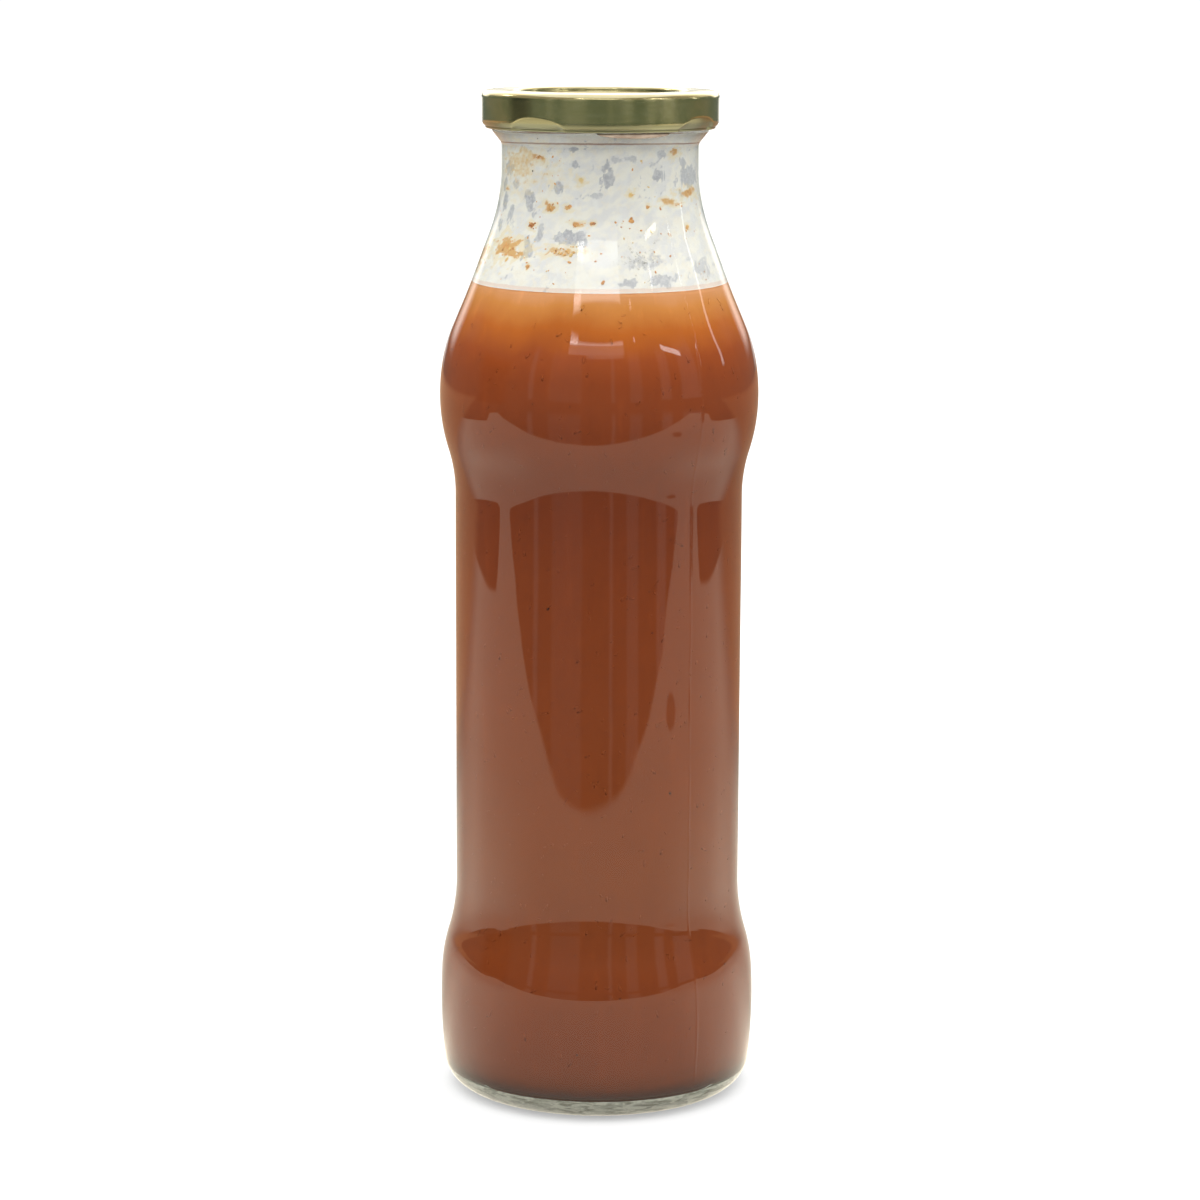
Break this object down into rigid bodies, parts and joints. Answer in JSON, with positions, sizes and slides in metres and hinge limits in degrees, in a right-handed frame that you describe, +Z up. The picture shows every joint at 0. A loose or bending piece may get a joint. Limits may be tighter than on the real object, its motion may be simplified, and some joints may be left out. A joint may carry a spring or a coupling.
{
  "type": "filled glass juice bottle",
  "caption": "Clear glass bottle with a bulged base and shoulder and a straight waist, filled with cloudy pear nectar and shut with a gold twist-off cap.",
  "frame": {"origin": "centre of the foot, on the surface that the bottle stands on", "axes": "+Z up along the bottle's axis; -Y is the side seen from the front"},
  "size_m": [0.0772, 0.0772, 0.245],
  "materials": {
    "clear_glass": "polished",
    "pear_nectar": "cloudy liquid",
    "gold_lacquer": "glossy"
  },
  "bodies": {
    "root": {"bottle": "clear_glass", "nectar": "pear_nectar", "lid": "gold_lacquer"}
  },
  "joints": []
}
